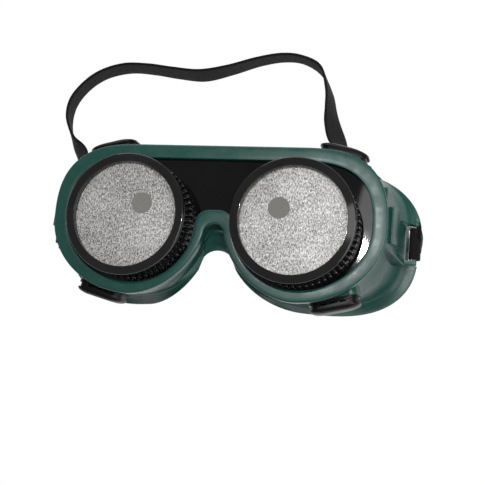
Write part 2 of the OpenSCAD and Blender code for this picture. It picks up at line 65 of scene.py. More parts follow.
camera = {
    "place": (0.11077, -0.07243, 0.45928),
    "right": (0.97267, 0.07895, -0.21837),
    "up": (-0.04317, 0.98551, 0.16402),
    "lens": 68.64, "sensor": 36, "nearest": 0.01, "farthest": 60,
}


def makeCamera():
    data = bpy.data.cameras.new("photoCamera")
    data.lens = camera["lens"]
    data.sensor_width = camera["sensor"]
    data.sensor_fit = "HORIZONTAL"
    data.clip_start, data.clip_end = camera["nearest"], camera["farthest"]
    eye = bpy.data.objects.new("photoCamera", data)
    right = Vector(camera["right"]).normalized()
    back = right.cross(Vector(camera["up"])).normalized()
    up = back.cross(right)
    turn = Matrix((right, up, back)).transposed().to_4x4()
    eye.matrix_world = Matrix.Translation(camera["place"]) @ turn
    bpy.context.scene.collection.objects.link(eye)
    bpy.context.scene.camera = eye


makeCamera()
print("camera placed")


# Small tools for meshes

def newPiece(name, points, faces):
    mesh = bpy.data.meshes.new(name)
    mesh.from_pydata([tuple(float(c) * mm for c in p) for p in points], [], faces)
    mesh.update()
    piece = bpy.data.objects.new(name, mesh)
    bpy.context.scene.collection.objects.link(piece)
    return piece


def applied(piece):      # bakes the modifiers into the mesh
    graph = bpy.context.evaluated_depsgraph_get()
    mesh = bpy.data.meshes.new_from_object(piece.evaluated_get(graph), depsgraph=graph)
    piece.modifiers.clear()
    piece.data = mesh
    return piece


def combine(piece, tool, how):
    step = piece.modifiers.new("combine", "BOOLEAN")
    step.operation = how
    step.solver = "MANIFOLD"
    step.object = tool
    applied(piece)
    bpy.data.objects.remove(tool)
    return piece


def rounded(piece, width, steps=3, angle=30):
    step = piece.modifiers.new("rounded", "BEVEL")
    step.width = width * mm
    step.segments = steps
    step.limit_method = "ANGLE"
    step.angle_limit = math.radians(angle)
    step.harden_normals = False
    return applied(piece)


def joined(name, pieces):
    bm = bmesh.new()
    for p in pieces:
        mesh = p.data
        mesh.transform(p.matrix_world)
        bm.from_mesh(mesh)
    mesh = bpy.data.meshes.new(name)
    bm.to_mesh(mesh)
    bm.free()
    for p in pieces:
        bpy.data.objects.remove(p)
    piece = bpy.data.objects.new(name, mesh)
    bpy.context.scene.collection.objects.link(piece)
    return piece


def dressed(piece, body, finish, nodes, angle=35):
    piece.data.materials.clear()
    piece.data.materials.append(finish)
    piece.data.shade_smooth()
    piece.data.set_sharp_from_angle(angle=math.radians(angle))
    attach(piece, body)
    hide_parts(*nodes)
    return piece


def placedAt(piece, turn):               # moves a mesh made in millimetres about its own frame
    move = turn.copy()
    move.translation = turn.translation * mm
    piece.data.transform(move)
    return piece


def bridgeRings(count, size, closed):    # quads between rings of points, wound to face outwards
    faces = []
    for j in range(count if closed else count - 1):
        for i in range(size):
            a = j * size + i
            b = j * size + (i + 1) % size
            c = (j + 1) % count * size + (i + 1) % size
            d = (j + 1) % count * size + i
            faces.append((b, c, d, a))
    return faces


def endCaps(count, size):                # closes the first and the last of such rings
    last = (count - 1) * size
    return [tuple(range(size)), tuple(reversed(range(last, last + size)))]


def turned(name, profile, x, steps):     # revolves a closed profile of (radius, height) about a lens axis
    points = []
    for k in range(steps):
        a = math.tau * k / steps
        points += [(x + r * math.cos(a), r * math.sin(a), z) for r, z in profile]
    return newPiece(name, points, bridgeRings(steps, len(profile), True))


def arcPoints(cx, cy, r, start, end, steps):    # degrees, ends included
    turn = [math.radians(start + (end - start) * i / steps) for i in range(steps + 1)]
    return [(cx + r * math.cos(a), cy + r * math.sin(a)) for a in turn]


def blockPiece(name, size, place, turn=Matrix.Identity(4)):
    x, y, z = (s / 2 for s in size)
    corners = [(sx * x, sy * y, sz * z) for sz in (-1, 1) for sy in (-1, 1) for sx in (-1, 1)]
    spots = [turn @ Vector(c) + Vector(place) for c in corners]
    faces = [(0, 2, 3, 1), (4, 5, 7, 6), (0, 1, 5, 4), (2, 6, 7, 3), (0, 4, 6, 2), (1, 3, 7, 5)]
    return newPiece(name, spots, faces)


def slabPiece(name, plans):              # a slab through (plan, height) rings, closed at both ends
    size = len(plans[0][0])
    points = [(x, y, z) for plan, z in plans for x, y in plan]
    top = len(points) - size
    faces = []
    for start in range(0, top, size):
        for i in range(size):
            a, b = start + i, start + (i + 1) % size
            faces.append((a, b, b + size, a + size))
    faces.append(tuple(reversed(range(size))))
    faces.append(tuple(range(top, top + size)))
    return newPiece(name, points, faces)


def hullPiece(name, points):
    piece = newPiece(name, points, [])
    bm = bmesh.new()
    bm.from_mesh(piece.data)
    found = bmesh.ops.convex_hull(bm, input=bm.verts)
    loose = [v for v in found["geom_interior"] if isinstance(v, bmesh.types.BMVert)]
    bmesh.ops.delete(bm, geom=loose, context="VERTS")
    bmesh.ops.dissolve_limit(bm, angle_limit=0.01, verts=bm.verts, edges=bm.edges)
    bmesh.ops.recalc_face_normals(bm, faces=bm.faces)
    bm.to_mesh(piece.data)
    bm.free()
    return piece


def smoothRun(stops, steps):             # an even curve through the stops, with steps points from each on
    run = []
    for i in range(len(stops) - 1):
        a, b, c, d = (stops[min(max(k, 0), len(stops) - 1)] for k in (i - 1, i, i + 1, i + 2))
        for k in range(steps):
            f = k / steps
            run.append((2 * b + (c - a) * f + (2 * a - 5 * b + 4 * c - d) * f * f
                        + (3 * b - a - 3 * c + d) * f ** 3) / 2)
    return run + [stops[-1]]


# Small tools for materials

def newFinish(name, **values):
    finish = bpy.data.materials.new(name)
    finish.use_nodes = True
    shader = finish.node_tree.nodes["Principled BSDF"]
    for key, value in values.items():
        shader.inputs[key.replace("_", " ")].default_value = value
    return finish, shader


def addNode(finish, kind, **values):
    node = finish.node_tree.nodes.new("ShaderNode" + kind)
    for key, value in values.items():
        setattr(node, key, value)
    return node


def wire(finish, source, target):
    finish.node_tree.links.new(source, target)


def wireShader(finish, shader, colour, roughness, normal):
    for key, source in (("Base Color", colour), ("Roughness", roughness), ("Normal", normal)):
        wire(finish, source, shader.inputs[key])


def noiseOn(finish, scale, detail=3.0, stretch=(1, 1, 1), roughness=0.5):
    place = addNode(finish, "TexCoord")
    mapping = addNode(finish, "Mapping")
    mapping.inputs["Scale"].default_value = stretch
    noise = addNode(finish, "TexNoise")
    noise.inputs["Scale"].default_value = scale
    noise.inputs["Detail"].default_value = detail
    noise.inputs["Roughness"].default_value = roughness
    wire(finish, place.outputs["Object"], mapping.inputs["Vector"])
    wire(finish, mapping.outputs["Vector"], noise.inputs["Vector"])
    return noise.outputs["Fac"]


def rampOn(finish, source, stops):       # stops are (place, colour)
    ramp = addNode(finish, "ValToRGB")
    tones = ramp.color_ramp
    while len(tones.elements) < len(stops):
        tones.elements.new(0.5)
    for element, (place, colour) in zip(tones.elements, stops):
        element.position = place
        element.color = (*colour, 1)
    wire(finish, source, ramp.inputs["Fac"])
    return ramp.outputs["Color"]


def darkToLight(finish, source, look, start=0.3, end=0.7):
    return rampOn(finish, source, [(start, look["dark"]), (end, look["light"])])


def rangeOn(finish, source, low, high, start=0.35, end=0.65):
    step = addNode(finish, "MapRange")
    step.inputs["From Min"].default_value = start
    step.inputs["From Max"].default_value = end
    step.inputs["To Min"].default_value = low
    step.inputs["To Max"].default_value = high
    wire(finish, source, step.inputs["Value"])
    return step.outputs["Result"]


def bumpOn(finish, source, strength, depth, under=None):
    bump = addNode(finish, "Bump")
    bump.inputs["Strength"].default_value = strength
    bump.inputs["Distance"].default_value = depth * mm
    wire(finish, source, bump.inputs["Height"])
    if under is not None:
        wire(finish, under, bump.inputs["Normal"])
    return bump.outputs["Normal"]


def multiplyAdd(finish, source, factor, added):      # factor is a number or another output
    step = addNode(finish, "Math", operation="MULTIPLY_ADD")
    wire(finish, source, step.inputs[0])
    if isinstance(factor, float):
        step.inputs[1].default_value = factor
    else:
        wire(finish, factor, step.inputs[1])
    wire(finish, added, step.inputs[2])
    return step.outputs["Value"]


def sineOf(finish, source, factor):
    scaled = addNode(finish, "Math", operation="MULTIPLY")
    scaled.inputs[1].default_value = factor
    wire(finish, source, scaled.inputs[0])
    wave = addNode(finish, "Math", operation="SINE")
    wire(finish, scaled.outputs["Value"], wave.inputs[0])
    return wave.outputs["Value"]


# Finishes. Each bump is its strength and its depth in millimetres

greenLook = {
    "dark": (0.008, 0.068, 0.052), "light": (0.014, 0.088, 0.070),
    "roughness": (0.26, 0.35), "specular": 0.5, "wave": (0.14, 0.25), "grain": (0.06, 0.05),
    "mottleScale": 45, "waveScale": 160, "grainScale": 1400,
}


def softVinyl():
    look = greenLook
    finish, shader = newFinish("softGreenVinyl", Specular_IOR_Level=look["specular"])
    mottle = noiseOn(finish, look["mottleScale"], 4)
    wave = noiseOn(finish, look["waveScale"], 2)
    grain = noiseOn(finish, look["grainScale"], 3)
    bumps = bumpOn(finish, grain, *look["grain"], bumpOn(finish, wave, *look["wave"]))
    wireShader(finish, shader, darkToLight(finish, mottle, look, 0.3, 0.72),
               rangeOn(finish, wave, *look["roughness"]), bumps)
    return finish


plasticLook = {
    "plate": {"dark": (0.003, 0.003, 0.003), "light": (0.005, 0.005, 0.005),
              "roughness": (0.02, 0.04), "specular": 0.5, "grain": (0.1, 0.02)},
    "ring": {"dark": (0.010, 0.010, 0.0102), "light": (0.016, 0.016, 0.0163),
             "roughness": (0.04, 0.08), "specular": 0.5, "grain": (0.1, 0.02)},
    "vent": {"dark": (0.003, 0.003, 0.003), "light": (0.005, 0.005, 0.005),
             "roughness": (0.28, 0.4), "specular": 0.22, "grain": (0.1, 0.05)},
    "mottleScale": 60, "smudgeScale": 25, "smudgeStretch": (1, 2.4, 1), "grainScale": 1800,
}


def blackPlastic(name, kind):
    look = plasticLook[kind]
    finish, shader = newFinish(name, Specular_IOR_Level=look["specular"])
    mottle = noiseOn(finish, plasticLook["mottleScale"], 5)
    smudge = noiseOn(finish, plasticLook["smudgeScale"], 6, plasticLook["smudgeStretch"], 0.6)
    grain = noiseOn(finish, plasticLook["grainScale"], 2)
    wireShader(finish, shader, darkToLight(finish, mottle, look),
               rangeOn(finish, smudge, *look["roughness"]), bumpOn(finish, grain, *look["grain"]))
    return finish


rubberLook = {
    "dark": (0.012, 0.012, 0.012), "light": (0.024, 0.024, 0.024),
    "roughness": (0.65, 0.85), "specular": 0.3, "mottleScale": 300, "grain": (0.15, 0.05),
}


def softRubber():
    look = rubberLook
    finish, shader = newFinish("gasketRubber", Specular_IOR_Level=look["specular"])
    mottle = noiseOn(finish, look["mottleScale"], 4)
    wireShader(finish, shader, darkToLight(finish, mottle, look),
               rangeOn(finish, mottle, *look["roughness"]), bumpOn(finish, mottle, *look["grain"]))
    return finish


speckleLook = {
    "fleckScale": 1900, "fleckStretch": (1, 1, 0.3), "fleckShare": 0.55,
    "fibreScale": 1150, "fibreStretch": (1.6, 0.7, 0.3), "fibreShare": 0.45,
    "cloudScale": 55, "cloudShare": 0.16,
    "tones": [(0.46, (0.05, 0.048, 0.046)), (0.54, (0.27, 0.265, 0.26)),
              (0.61, (0.5, 0.49, 0.48)), (0.69, (0.85, 0.84, 0.83))],
    "roughness": (0.3, 0.5), "metal": 0.2, "specular": 0.5, "flecks": (0.35, 0.12),
}


def speckledFilm():      # dense silver grey flecks pressed in a frosted film
    look = speckleLook
    finish, shader = newFinish("speckledDisc", Specular_IOR_Level=look["specular"], Metallic=look["metal"])
    fleck = noiseOn(finish, look["fleckScale"], 3, look["fleckStretch"], 0.72)
    fibre = noiseOn(finish, look["fibreScale"], 4, look["fibreStretch"], 0.75)
    cloud = noiseOn(finish, look["cloudScale"], 2)
    fibres = rangeOn(finish, fibre, 0, look["fibreShare"], 0.2, 0.8)
    flecks = multiplyAdd(finish, fleck, look["fleckShare"], fibres)
    shade = multiplyAdd(finish, cloud, look["cloudShare"], flecks)
    wireShader(finish, shader, rampOn(finish, shade, look["tones"]),
               rangeOn(finish, fleck, *look["roughness"]), bumpOn(finish, flecks, *look["flecks"]))
    return finish


# the lens tint is partly the lens's own grey and partly painted shade: rays through the glass see the floor
# as unshaded white, so the tint stands in for the shade under the goggles
glassLook = {"tintWithShade": (0.215, 0.207, 0.198, 1), "index": 1.49, "smudgeScale": 90, "roughness": (0.02, 0.07)}


def clearGlass():
    look = glassLook
    finish, shader = newFinish("clearLens", Base_Color=look["tintWithShade"], IOR=look["index"],
                               Transmission_Weight=1.0)
    smudge = noiseOn(finish, look["smudgeScale"], 4)
    wire(finish, rangeOn(finish, smudge, *look["roughness"]), shader.inputs["Roughness"])
    return finish


webLook = {
    "dark": (0.004, 0.004, 0.0042), "light": (0.013, 0.0128, 0.0125), "roughness": 0.8, "specular": 0.2,
    "sheen": 0.04, "sheenSpread": 0.4, "ribs": 13, "pickEvery": 0.9, "fuzzScale": 2500, "fuzzShare": 1.2,
    "lowest": -0.8, "highest": 2.4, "weave": (0.6, 0.25),
}


def elasticWeb():        # ribs run along the band and picks cross it; the mesh has both in its UVs
    look = webLook
    finish, shader = newFinish("elasticWebbing", Roughness=look["roughness"], Sheen_Weight=look["sheen"],
                               Sheen_Roughness=look["sheenSpread"], Specular_IOR_Level=look["specular"])
    place = addNode(finish, "UVMap", uv_map="weave")
    parts = addNode(finish, "SeparateXYZ")
    wire(finish, place.outputs["UV"], parts.inputs["Vector"])
    rib = sineOf(finish, parts.outputs["Y"], math.tau * look["ribs"])
    pick = sineOf(finish, parts.outputs["X"], math.tau / (look["pickEvery"] * mm))
    fuzz = noiseOn(finish, look["fuzzScale"], 4)
    weave = multiplyAdd(finish, fuzz, look["fuzzShare"], multiplyAdd(finish, rib, pick, rib))
    level = rangeOn(finish, weave, 0, 1, look["lowest"], look["highest"])
    wire(finish, darkToLight(finish, level, look, 0.2, 0.9), shader.inputs["Base Color"])
    wire(finish, bumpOn(finish, level, *look["weave"]), shader.inputs["Normal"])
    return finish


vinyl = softVinyl()
platePlastic = blackPlastic("blackPlate", "plate")
ringPlastic = blackPlastic("blackRing", "ring")
ventPlastic = blackPlastic("blackVent", "vent")
rubber = softRubber()
speckle = speckledFilm()
glass = clearGlass()
webbing = elasticWeb()
print("finishes made")


# Soft body: rings of points round the goggles, each ring a section of the shell

# A section has nine values: reach at the temple, reach at the brow and its fullness, reach at the cheek and
# its fullness, fullness beside the nose, then half width, top and fullness of the nose arch
shell = {
    "window": (33.9, 29.8, 2.7, 29.7, 2.0, 2.0, 9.1, 5.7, 3.0),
    "lip": (40.5, 36.4, 2.7, 35.2, 2.0, 1.8, 4.7, -0.8, 2.0),
    "wallEnd": (44.5, 34.7, 2.7, 32.2, 2.7, 2.2, 6.6, -8.0, 2.0),
    "flange": (52.4, 34.9, 2.35, 37.0, 2.7, 2.0, 9.1, -11.5, 2.0),
    "lipWidth": 6.6, "lipThick": 2.6, "lipRound": 0.8, "lipCrown": 0.04, "lipSide": 3.2,
    "plateRound": 0.35, "backRound": 0.9, "backDown": 4.6, "backLip": 2.9, "backEdge": 0.5,
    "grooveIn": 2.8, "grooveDeep": 5.8, "neckIn": 1.4, "neckDown": 0.3, "neckFillet": 0.25,
    "wall": 2.2, "wallShares": (0.2, 0.55), "flare": 6.4, "innerFlare": 3.4, "flangeThick": 2.4,
    "outerDrops": ((0.35, -5), (0.65, -1)), "innerDrops": ((0.42, -5.4), (0.72, -2.2)),
    "noseRise": 40.0, "noseFall": 2.4, "noseThin": 0.75, "browShare": 0.8, "browOver": 20.0, "templeX": 79.0,
    "browRise": 18.5, "templeTop": 5.0, "browClimb": 3.0, "spread": 2.2, "spreadFrom": -8.0,
    "spreadOver": (45.0, 14.0), "lobeSteps": 30, "archSteps": 14, "browSteps": 16, "wallSteps": 7,
}


def inset(section, d):
    return section + np.array([-d, -d, 0, -d, 0, 0, d, d, 0])


def lobe(a, b, t, n):
    return a * np.cos(t).clip(0) ** (2 / n), b * np.sin(t).clip(0) ** (2 / n)


def outlineOf(section):  # clockwise from above: half of the brow, right half, left half, half of the brow
    temple, brow, browFull, cheek, cheekFull, noseFull, archHalf, archTop, archFull = section
    steps, archSteps, browSteps = shell["lobeSteps"], shell["archSteps"], shell["browSteps"]
    drop = archHalf - archTop
    inner = (lensX - archHalf) / (1 - (drop / cheek) ** noseFull) ** (1 / noseFull)
    last = math.asin((drop / cheek) ** (noseFull / 2))
    quarter = np.pi / 2
    top = np.array([(lensX * i / browSteps, brow) for i in range(browSteps)])
    x, y = lobe(temple, brow, np.linspace(quarter, 0, steps + 1), browFull)
    upper = np.stack([lensX + x, y], 1)
    x, y = lobe(temple, cheek, np.linspace(0, quarter, steps + 1)[1:], cheekFull)
    lower = np.stack([lensX + x, -y], 1)
    x, y = lobe(inner, cheek, np.linspace(quarter, last, steps + 1)[1:], noseFull)
    nose = np.stack([lensX - x, -y], 1)
    x, y = lobe(archHalf, archHalf, np.linspace(0, quarter, archSteps + 1)[1:], archFull)
    over = np.stack([x, y - drop], 1)
    half = np.concatenate([top, upper, lower, nose, over])
    mirrored = half[1:-1][::-1] * (-1, 1)
    return np.concatenate([half, mirrored])


def smoothStep(f):
    f = np.clip(f, 0, 1)
    return f * f * (3 - 2 * f)


def noseShare(x):        # 1 in the middle of the goggles, 0 at the temples
    return np.cos(np.pi / 2 * np.minimum(1, np.abs(x) / shell["templeX"])).clip(0) ** shell["noseFall"]


def rimHeight(x, y):     # height of the flange edge over the face plane
    brow = shell["browRise"] * smoothStep((y - shell["templeTop"]) / shell["browClimb"])
    lower = 1 - (1 - shell["browShare"]) * smoothStep(y / shell["browOver"])
    return np.hypot(shell["noseRise"] * noseShare(x) * lower, brow)


def ringOf(station):     # a station is a section, its share of the way to the rim, and a height added
    flat = outlineOf(station[:9])
    share, height = station[9], station[10]
    far, high = shell["spreadOver"]      # the soft rim lies a little wider over the right lug
    wider = smoothStep((flat[:, 0] - lensX) / far) * smoothStep((flat[:, 1] - shell["spreadFrom"]) / high)
    flat[:, 0] += shell["spread"] * share * wider
    rise = height * (1 - shell["noseThin"] * noseShare(flat[:, 0])) if height > 0 else height
    z = lipFront * (1 - share) + rimHeight(flat[:, 0], flat[:, 1]) * share + rise
    return np.column_stack([flat, z])


def station(section, share, height):
    return np.concatenate([section, [share, height]])


lipSection = np.array(shell["lip"])
windowSection = np.array(shell["window"])
wallSection = np.array(shell["wallEnd"])
flangeSection = np.array(shell["flange"])
neckSection = inset(lipSection, shell["neckIn"])
neckZ = -shell["grooveDeep"] - shell["neckDown"]


def across(d):           # the section of the lip at d from its outer edge towards the window
    f = d / shell["lipWidth"]
    return lipSection * (1 - f) + windowSection * f


def arcSteps(*angles):   # cosine and sine of each angle, given in degrees
    return [(math.cos(math.radians(a)), math.sin(math.radians(a))) for a in angles]


def wallStops(d, inside=False):          # the side wall from the neck to the flare, moved inwards by d
    mixed = [inset(neckSection * (1 - f) + wallSection * f, d) for f in shell["wallShares"]]
    drops = shell["innerDrops" if inside else "outerDrops"]
    flare = shell["innerFlare" if inside else "flare"]
    return [station(s, *drop) for s, drop in zip(mixed, drops)] + [station(inset(wallSection, d), 1, flare)]


def lipStations():       # from the edge against the plate, over the face of the lip, to the neck behind it
    w, r, soft, back = shell["lipWidth"], shell["lipRound"], shell["plateRound"], shell["backRound"]
    out = [station(across(w - soft + soft * c), 0, -soft + soft * s) for c, s in arcSteps(0, 30, 60, 90)]
    out += [station(across(w * f), 0, shell["lipCrown"]) for f in (0.7, 0.4)]
    for c, s in arcSteps(90, 72, 54, 36, 18, 0):
        out.append(station(inset(lipSection, r * (1 - c)), 0, -r * (1 - s)))
    out.append(station(lipSection, 0, -shell["lipSide"]))
    for c, s in arcSteps(0, -35, -70):
        out.append(station(inset(lipSection, back * (1 - c)), 0, -shell["backDown"] + back * s))
    out.append(station(inset(neckSection, -shell["neckFillet"]), 0, neckZ + 0.15))
    return out


def outerStations():     # down the wall, out over the flange and round its edge
    thick = shell["flangeThick"]
    half = thick / 2
    stops = [station(neckSection, 0, neckZ - 0.35)] + wallStops(0)
    for f, over in ((0.3, 1.5), (0.7, 0.4), (0.95, 0.05)):
        stops.append(station(wallSection * (1 - f) + flangeSection * f, 1, thick + over))
    edge = [station(inset(flangeSection, half * 0.8 * (1 - c)), 1, half + half * s)
            for c, s in arcSteps(70, 45, 20, -5, -30, -60, -90)]
    return smoothRun(stops, shell["wallSteps"]) + edge


def innerStations():     # back under the flange, up the inside of the wall, and into the groove of the plate
    w, wall, edge, thick = shell["lipWidth"], shell["wall"], shell["backEdge"], shell["lipThick"]
    groove, deep = shell["grooveIn"], shell["grooveDeep"]
    back = deep + shell["backLip"]
    inner = inset(wallSection, wall)
    out = []
    for f, up in ((0.6, 0), (0.8, 0.25), (0.95, 1.1)):
        out.append(station(inner * f + flangeSection * (1 - f), 1, up))
    out += smoothRun([station(inner, 1, 2.6)] + wallStops(wall, True)[::-1], shell["wallSteps"])
    out.append(station(inset(neckSection, wall), 0, -back - 0.6))
    out.append(station(inset(neckSection, wall + 0.8), 0, -back))
    for d, z in ((w - 2 * edge, -back), (w - edge, -back + edge), (w - edge, -deep),
                 (groove, -deep), (groove, -thick), (w, -thick)):
        out.append(station(across(d), 0, z))
    return out


def skinPiece(name, rings, closed):
    count, size = len(rings), len(rings[0])
    faces = bridgeRings(count, size, closed)
    if not closed:
        faces += endCaps(count, size)
    return newPiece(name, np.concatenate(rings), faces)


def wallCore():          # the hollow out to the middle of the wall, which trims what stands on the wall
    d = shell["wall"] / 2
    neck = station(inset(neckSection, d), 0, neckZ)
    rings = [ringOf(s) for s in smoothRun([neck] + wallStops(d), shell["wallSteps"])]
    foot = rings[-1].copy()
    foot[:, 2] = -5
    return skinPiece("wallCore", rings + [foot], False)


lug = {
    "z": 17.0, "y": -0.8, "thick": 4.0, "slotW": 16.0, "slotGap": 3.4, "bar": 2.2, "wall": 2.4, "edge": 0.7,
    "rootW": 27.0, "rootY": 7.0, "rootDrop": 7.5, "rootT": 2.5, "deep": 12.0, "softEdge": 0.5,
    "padT": {-1: 0.7, 1: 1.5}, "padL": 9.0, "padW": 17.0, "padY": 4.0, "padDown": 2.4,
    "notchOver": 5.0, "notchPlay": 0.5, "notchUp": 12.0,
}
barOut = lensX + shell["flange"][0] - 0.1
barIn = barOut - lug["bar"]
slotIn = barIn - lug["slotGap"]


def lugPiece(side):      # a wedge off the wall, a tongue with the strap slot, and a grip pad on the slope
    half = lug["slotW"] / 2 + lug["wall"]
    wallX = lensX + shell["lip"][0] - shell["neckIn"]
    rootZ = lipFront - lug["rootDrop"]
    low, high = lug["z"] - lug["thick"] / 2, lug["z"] + lug["thick"] / 2
    corners = [(x, y, z) for x in (wallX - lug["deep"], wallX) for z in (rootZ - lug["rootT"], rootZ)
               for y in (lug["rootY"] - lug["rootW"] / 2, lug["rootY"] + lug["rootW"] / 2)]
    corners += [(x, y, z) for x in (slotIn - lug["deep"], slotIn) for z in (low, high)
                for y in (lug["y"] - half, lug["y"] + half)]
    wedge = rounded(hullPiece("wedge", [(side * x, y, z) for x, y, z in corners]), lug["edge"])
    barLength = barOut - slotIn + lug["deep"]
    tongue = blockPiece("tongue", (barLength, 2 * half, lug["thick"]),
                        (side * (barOut - barLength / 2), lug["y"], lug["z"]))
    combine(wedge, rounded(tongue, lug["edge"]), "UNION")
    slope = math.atan2(slotIn - wallX, rootZ - high)
    down = Matrix.Rotation(-side * slope, 4, "Y")
    reach = lug["rootT"] + lug["padDown"] + lug["padL"] / 2
    middle = Vector((side * wallX, lug["padY"], rootZ)) + down @ Vector((0, 0, -reach))
    pad = blockPiece("pad", (2 * lug["padT"][side], lug["padW"], lug["padL"]), middle, down)
    combine(wedge, rounded(pad, lug["softEdge"]), "UNION")
    combine(wedge, wallCore(), "DIFFERENCE")
    slot = blockPiece("slot", (lug["slotGap"], lug["slotW"], 4 * lug["thick"]),
                      (side * (slotIn + lug["slotGap"] / 2), lug["y"], lug["z"]))
    combine(wedge, rounded(slot, lug["softEdge"], 2), "DIFFERENCE")
    return wedge


vent = {
    "long": 23.6, "wide": 14.0, "corner": 4.5, "base": 1.4, "gap": 2.0, "cover": 2.6,
    "out": 17.0, "tilt": 14.0, "browDrop": 14.2, "cheekDrop": 15.4,
    "bossL": 24.4, "bossW": 13.0, "boss": 0.4, "bossRound": 0.35,
    "holeL": 13.0, "holeW": 5.0, "neckWall": 1.0, "neckDeep": 4.0, "fit": 0.15, "webs": 1.0,
    "blockIn": 0.8, "blockCorner": 3.8, "slotL": 3.0, "slotPitch": 4.4, "slotHigh": 0.7, "slotUp": 0.2,
    "faceL": {1: 9.5, -1: 14.0}, "faceW": 9.0, "faceCorner": 3.0, "edgeShare": 0.26, "domeSteps": 6,
    "domeIn": 1.25, "domeUp": 1.1,
}
neckL, neckW = vent["holeL"] + 2 * vent["neckWall"], vent["holeW"] + 2 * vent["neckWall"]


def wallReach(brow):     # reach of the wall at the middle of a vent
    temple, browReach, browFull, cheek, cheekFull = (neckSection * 0.8 + wallSection * 0.2)[:5]
    reach, full = (browReach, browFull) if brow > 0 else (cheek, cheekFull)
    return reach * (1 - (vent["out"] / temple) ** full) ** (1 / full)


def ventTurn(side, brow):                # from a vent's own frame, z out of the wall, to the goggles
    drop = vent["browDrop"] if brow > 0 else vent["cheekDrop"]
    place = Vector((side * (lensX + vent["out"]), brow * (wallReach(brow) + vent["boss"]), lipFront - drop))
    return (Matrix.Translation(place) @ Matrix.Rotation(math.radians(-side * brow * vent["tilt"]), 4, "Z")
            @ Matrix.Rotation(math.radians(-brow * 90), 4, "X"))


def ventPlan(long, wide, r):
    x, y = long / 2 - r, wide / 2 - r
    corners = ((x, -y, -90), (x, y, 0), (-x, y, 90), (-x, -y, 180))
    return [p for cx, cy, start in corners for p in arcPoints(cx, cy, r, start, start + 90, 6)]


def strapNotch(side, start, top):        # room for the strap in the rim, from start outwards and up to top
    long, under = barOut + lug["notchOver"] - start, 1
    size = (long, lug["slotW"] + 2 * lug["notchPlay"], top + under)
    return blockPiece("notch", size, (side * (start + long / 2), lug["y"], (top - under) / 2))


def makeBody():
    stations = lipStations() + outerStations() + innerStations()
    body = skinPiece("goggleBody", [ringOf(s) for s in stations], True)
    for side in sides.values():
        combine(body, lugPiece(side), "UNION")
        for brow in (-1, 1):
            plan = ventPlan(vent["bossL"], vent["bossW"], vent["corner"])
            boss = slabPiece("boss", [(plan, -6), (plan, vent["boss"] / 2)])
            boss = placedAt(rounded(boss, vent["bossRound"], 2), ventTurn(side, brow))
            combine(boss, wallCore(), "DIFFERENCE")
            combine(body, boss, "UNION")
    for side in sides.values():
        combine(body, strapNotch(side, slotIn + 1, lug["z"] - lug["thick"]), "DIFFERENCE")
        combine(body, strapNotch(side, barOut + 0.1, lug["z"] + lug["notchUp"]), "DIFFERENCE")
        for brow in (-1, 1):
            hole = blockPiece("hole", (neckL + 2 * vent["fit"], neckW + 2 * vent["fit"], 12), (0, 0, -2))
            combine(body, placedAt(hole, ventTurn(side, brow)), "DIFFERENCE")
    return dressed(body, "goggles", vinyl, ["goggle_body"], 38)


makeBody()
print("soft body made")


# Screw rings: a turned head and skirt, and a collar of grip teeth

ring = {
    "aperture": 24.5, "bore": 26.35, "skirt": 27.35, "head": 28.35, "headHigh": 3.0, "headRound": 0.6,
    "droop": 0.16, "edge": 0.15, "chamfer": 0.2, "teeth": 60, "toothDepth": 1.25, "toothHigh": 3.4,
    "toothRoot": 0.4, "toothRound": 0.18, "turnSteps": 240,
}
ringBack, ringFront = float(ringLow[2]), float(ringHigh[2])
headUnder = ringFront - ring["headHigh"]


def ringProfile():       # closed, in (radius, height)
    a, h, s, b = ring["aperture"], ring["head"], ring["skirt"], ring["bore"]
    e, c, r, low = ring["edge"], ring["chamfer"], ring["headRound"], ringFront - ring["droop"]
    profile = [(b, headUnder), (b, ringBack + c), (b + c, ringBack), (s - e, ringBack), (s, ringBack + e)]
    profile += [(s, ringFront - 3.85), (s + 0.05, ringFront - 3.75)]     # the slope out under the head
    profile += [(h - e, ringFront - 3.08), (h - 0.04, ringFront - 2.98), (h, ringFront - 2.85)]
    profile += arcPoints(h - r, low - r, r, 0, 90, 8)
    profile += [(h - r - 0.2, low + 0.015), (a + 2 * e, ringFront - 0.015)]    # the face droops outwards
    profile += arcPoints(a + e, ringFront - e, e, 90, 180, 3)
    return profile + [(a, headUnder + c), (a + c, headUnder)]


def toothPiece(x, angle):
    wide = math.pi * (ring["skirt"] + ring["toothDepth"]) / ring["teeth"]
    deep = ring["toothDepth"] + ring["toothRoot"]
    turn = Matrix.Rotation(angle, 4, "Z")
    reach = ring["skirt"] - ring["toothRoot"] + deep / 2
    middle = turn @ Vector((reach, 0, 0)) + Vector((x, 0, ringBack + ring["toothHigh"] / 2))
    return blockPiece("tooth", (deep, wide, ring["toothHigh"]), middle, turn)


def makeRing(name, side):
    x = side * lensX
    teeth = joined("teeth", [toothPiece(x, math.tau * i / ring["teeth"]) for i in range(ring["teeth"])])
    rounded(teeth, ring["toothRound"], 2)
    head = turned("head", ringProfile(), x, ring["turnSteps"])
    whole = joined(name + "ScrewRing", [head, teeth])
    dressed(whole, name + "_ring", ringPlastic, [name + "_screw_ring"], 30)


for name, side in sides.items():
    makeRing(name, side)
print("screw rings made")


# Discs and lenses

disc = {
    "radius": 25.0, "edge": 0.15, "turnSteps": 192, "spotD": 9.9, "spotIn": 6.9, "spotUp": 5.7,
    "spotSteps": 96, "spotLean": 1.32, "lensEdge": 0.3, "axis": 0.01,
}


def circlePlan(x, y, r, steps):
    turn = [math.tau * i / steps for i in range(steps)]
    return [(x + r * math.cos(a), y + r * math.sin(a)) for a in turn]


def roundSlab(name, x, y, rings, steps):         # a slab through circles of (radius, height)
    return slabPiece(name, [(circlePlan(x, y, reach, steps), z) for reach, z in rings])


